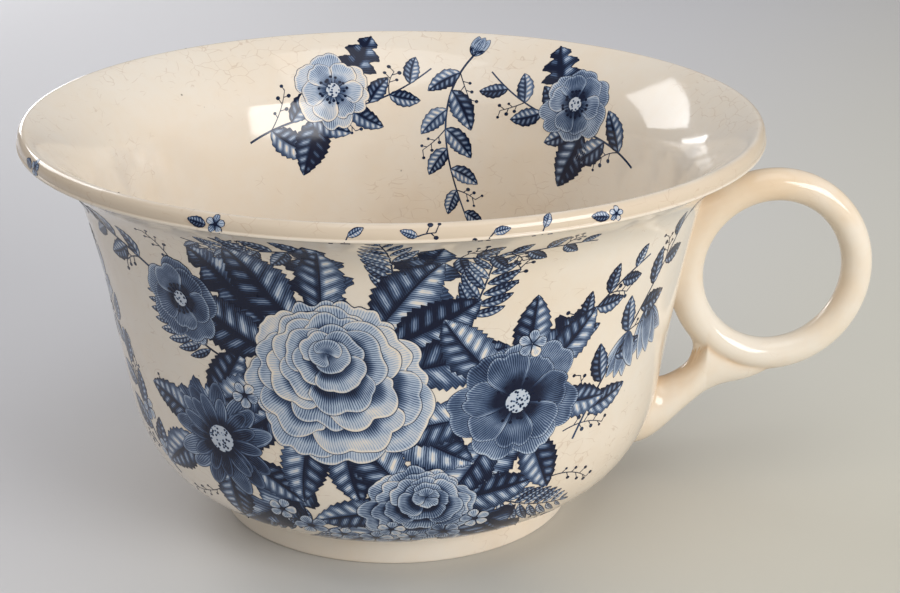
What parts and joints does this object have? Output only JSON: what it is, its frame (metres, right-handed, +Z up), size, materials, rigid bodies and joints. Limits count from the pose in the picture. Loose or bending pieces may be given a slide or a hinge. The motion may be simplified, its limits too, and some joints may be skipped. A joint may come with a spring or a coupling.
{
  "type": "large handled cup",
  "caption": "Large round earthenware cup with a flared rolled lip, a low foot ring and a ring handle propped by a short spur; blue floral print under a cream glaze.",
  "frame": {"origin": "centre of the object's plan outline, handle included, on the surface it stands on", "axes": "+Z up out of the bowl, +X from the bowl towards the handle, +Y completes a right-handed set"},
  "size_m": [0.2832, 0.24, 0.1334],
  "materials": {
    "printed_glaze": "clear lead glaze over cream earthenware with a blue floral print under it",
    "plain_glaze": "clear lead glaze over cream earthenware",
    "handle_glaze": "clear lead glaze over cream earthenware, browned in the crevices"
  },
  "bodies": {
    "root": {"bowl": "printed_glaze", "foot_ring": "plain_glaze", "ring_handle": "handle_glaze", "handle_spur": "handle_glaze", "ring_bedding_slip": "handle_glaze", "spur_root_slip": "handle_glaze"}
  },
  "joints": []
}
